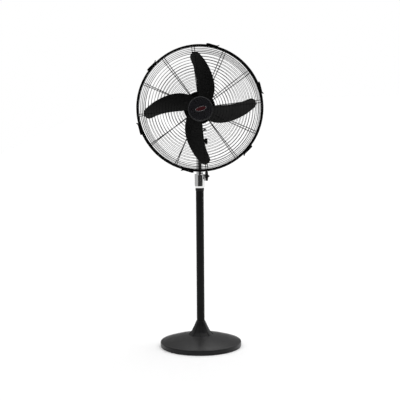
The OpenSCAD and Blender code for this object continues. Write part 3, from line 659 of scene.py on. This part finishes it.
# guard clips: pressed channels that follow the rim, with a finger tab turned out at the free end
CLIP_W, CLIP_T, PIN_R, PIN_HEAD_R, PIN_HEAD = 12.8, 1.5, 1.5, 2.6, 13.4
clip_wall = [(-5, 1), (-3.6, -1.3), (-1, -2.9), (3, -5), (25, -7), (49, -7.4), (53, -5.4),
             (61.4, -0.4), (61.9, 1.2), (61, 3.2), (50, -0.4), (7, 6.8), (-3, 6.8), (-5, 5)]
clip_web = [(6, 5.5), (48, -1.5), (50, -1.7), (52, -1.2), (60, 1.8), (61.8, 2.3),
            (62, 3.1), (61.2, 3.7), (52, 0.5), (50, -0.1), (48, 0.1), (6, 7.0)]
clip_pin = rounded([(0, -PIN_HEAD), (PIN_HEAD_R, -PIN_HEAD, 0.5), (PIN_HEAD_R, -CLIP_W), (PIN_R, -CLIP_W),
                    (PIN_R, CLIP_W), (PIN_HEAD_R, CLIP_W), (PIN_HEAD_R, PIN_HEAD, 0.5), (0, PIN_HEAD)], 3)
for i, m in enumerate(clip_places):
    bm = bmesh.new()
    for w in (-CLIP_W, CLIP_W - CLIP_T):
        prism(bm, clip_wall, w, w + CLIP_T, m)
    prism(bm, clip_web, -CLIP_W, CLIP_W, m)
    lathe(bm, clip_pin, 24, m @ Matrix.Translation((0, 3.5, 0)))
    bevel(add(f"clip_lever_{i + 1}", bm, "guard_paint", f"clip_{i + 1}", [f"guard_clip_{i + 1}"]), 0.35, 2, 40)

# badge: domed disc with a rolled rim, a recessed ring and a plain blank plate
bu = front_in_u + 2.55
bm = bmesh.new()
prof = rounded([(0, bu), (62, bu), (64, bu + 0.8, 0.6), (64, bu + 2.4, 0.9), (61.4, bu + 2.6, 0.5), (60.4, bu + 1.7, 0.5),
                (58.6, bu + 1.8, 0.5)], 5)
prof += [Vector((58 * (1 - k / 24), bu + 2.0 + 1.7 * (1 - (1 - k / 24) ** 2))) for k in range(25)]
lathe(bm, prof, 160, HEAD)
add("badge_disc", bm, "badge_gloss", "head", ["guard_badge"])
# a plain oval: silver edge round a dark red field, standing for the printed mark
oval = HEAD @ Matrix.Translation((2, 1, 0)) @ Matrix.Rotation(rad(14), 4, "Z")


def ellipse(a, b, n=96):
    return [(a * cos(2 * pi * k / n), b * sin(2 * pi * k / n)) for k in range(n)]


bm = bmesh.new()
outer, inner = ellipse(29, 12), ellipse(27.2, 10.4)
levels = []
for pts, z in ((outer, bu + 3.3), (outer, bu + 4.35), (inner, bu + 4.35), (inner, bu + 3.3)):
    levels.append([bm.verts.new(oval @ Vector((x, y, z))) for x, y in pts])
for a, b in zip(levels, levels[1:] + levels[:1]):
    for k in range(96):
        bm.faces.new((a[k], a[(k + 1) % 96], b[(k + 1) % 96], b[k]))
bevel(add("badge_edge", bm, None, "head", [], mat=silver), 0.25, 2, 40)
bm = bmesh.new()
prism(bm, ellipse(27.1, 10.3), bu + 3.3, bu + 4.1, oval)
bevel(add("badge_field", bm, None, "head", [], mat=red), 0.2, 2, 40)

# ---------------------------------------------------------------- stage, light and camera

bm = bmesh.new()
rim = [bm.verts.new((x, y, 0)) for x, y in ((-3.2, -3.2), (60.0, -3.2), (60.0, 60.0), (-3.2, 60.0))]
bm.faces.new(rim)
me = bpy.data.meshes.new("floor")
bm.to_mesh(me)
bm.free()
floor = bpy.data.objects.new("floor", me)
bpy.context.scene.collection.objects.link(floor)
fm, nt, fb = new_mat("floor_paper")
v = tex_coord(nt)
paper = ramp(nt, noise(nt, v, 2.0, 2.0), [(0.3, (0.97, 0.97, 0.97)), (0.7, (0.98, 0.98, 0.98))])
nt.links.new(paper, fb.inputs["Base Color"])
fb.inputs["Roughness"].default_value = 0.9
fb.inputs["Specular IOR Level"].default_value = 0.1
fb.inputs["Emission Color"].default_value = (1.0, 1.0, 1.0, 1.0)
fb.inputs["Emission Strength"].default_value = 0.06
give(floor, fm)

# white studio: bright behind and at the sides, dark towards the camera
world = bpy.data.worlds.new("studio")
bpy.context.scene.world = world
world.use_nodes = True
nt = world.node_tree
tc = nt.nodes.new("ShaderNodeTexCoord")
sep = nt.nodes.new("ShaderNodeSeparateXYZ")
nt.links.new(tc.outputs["Generated"], sep.inputs["Vector"])
neg = nt.nodes.new("ShaderNodeMath")
neg.operation = "MULTIPLY"
neg.inputs[1].default_value = -1
nt.links.new(sep.outputs["Y"], neg.inputs[0])
az = nt.nodes.new("ShaderNodeMath")
az.operation = "ARCTAN2"
nt.links.new(sep.outputs["X"], az.inputs[0])
nt.links.new(neg.outputs[0], az.inputs[1])
turn = remap(nt, az.outputs[0], 0.0, 1.0, -pi, pi)
DARK, LEFT, RIGHT, BACK = 0.04, 0.5, 0.95, 0.3


def at(deg):
    return 0.5 + deg / 360.0


stops = [(0.0, BACK), (at(-155), BACK), (at(-138), LEFT), (at(-47), LEFT), (at(-37), DARK), (at(62), DARK),
         (at(74), RIGHT),
         (at(138), RIGHT), (at(155), BACK), (1.0, BACK)]
ring = ramp(nt, turn, [(p, (c, c, c)) for p, c in stops])
high = remap(nt, sep.outputs["Z"], 0.0, 1.0, 0.55, 0.8)
sky = mix_col(nt, high, ring, (0.84, 0.84, 0.84))
bg = nt.nodes["Background"]
path = nt.nodes.new("ShaderNodeLightPath")
nt.links.new(mix_col(nt, path.outputs["Is Camera Ray"], sky, (1.0, 1.0, 1.0)), bg.inputs["Color"])
bg.inputs["Strength"].default_value = 1.0

top = bpy.data.lights.new("top_light", "SUN")
top.energy = 1.3
top.angle = rad(50)
top_o = bpy.data.objects.new("top_light", top)
top_o.rotation_euler = (rad(-14), rad(8), 0)
bpy.context.scene.collection.objects.link(top_o)

AZ, DIST, CAM_H, PITCH_C, ROLL, FOCAL = rad(-1.8), 5.730, 1.482, rad(6.81), rad(-0.43), 96.94
cam_data = bpy.data.cameras.new("camera")
cam_data.lens = FOCAL
cam_data.sensor_width = 36
cam_data.clip_end = 60
cam = bpy.data.objects.new("camera", cam_data)
bpy.context.scene.collection.objects.link(cam)
bpy.context.scene.camera = cam
fwd = Vector((-sin(AZ) * cos(PITCH_C), cos(AZ) * cos(PITCH_C), -sin(PITCH_C)))
right_v = Vector((cos(AZ), sin(AZ), 0))
up_v = right_v.cross(fwd)
r2 = right_v * cos(ROLL) + up_v * sin(ROLL)
u2 = up_v * cos(ROLL) - right_v * sin(ROLL)
cam.location = (sin(AZ) * DIST, -cos(AZ) * DIST, CAM_H)
cam.rotation_mode = "QUATERNION"
cam.rotation_quaternion = Matrix((r2, u2, -fwd)).transposed().to_quaternion()
cam_data.shift_x = 0.15 / 400

bpy.context.scene.view_settings.view_transform = "Standard"
bpy.context.scene.view_settings.exposure = 0.0
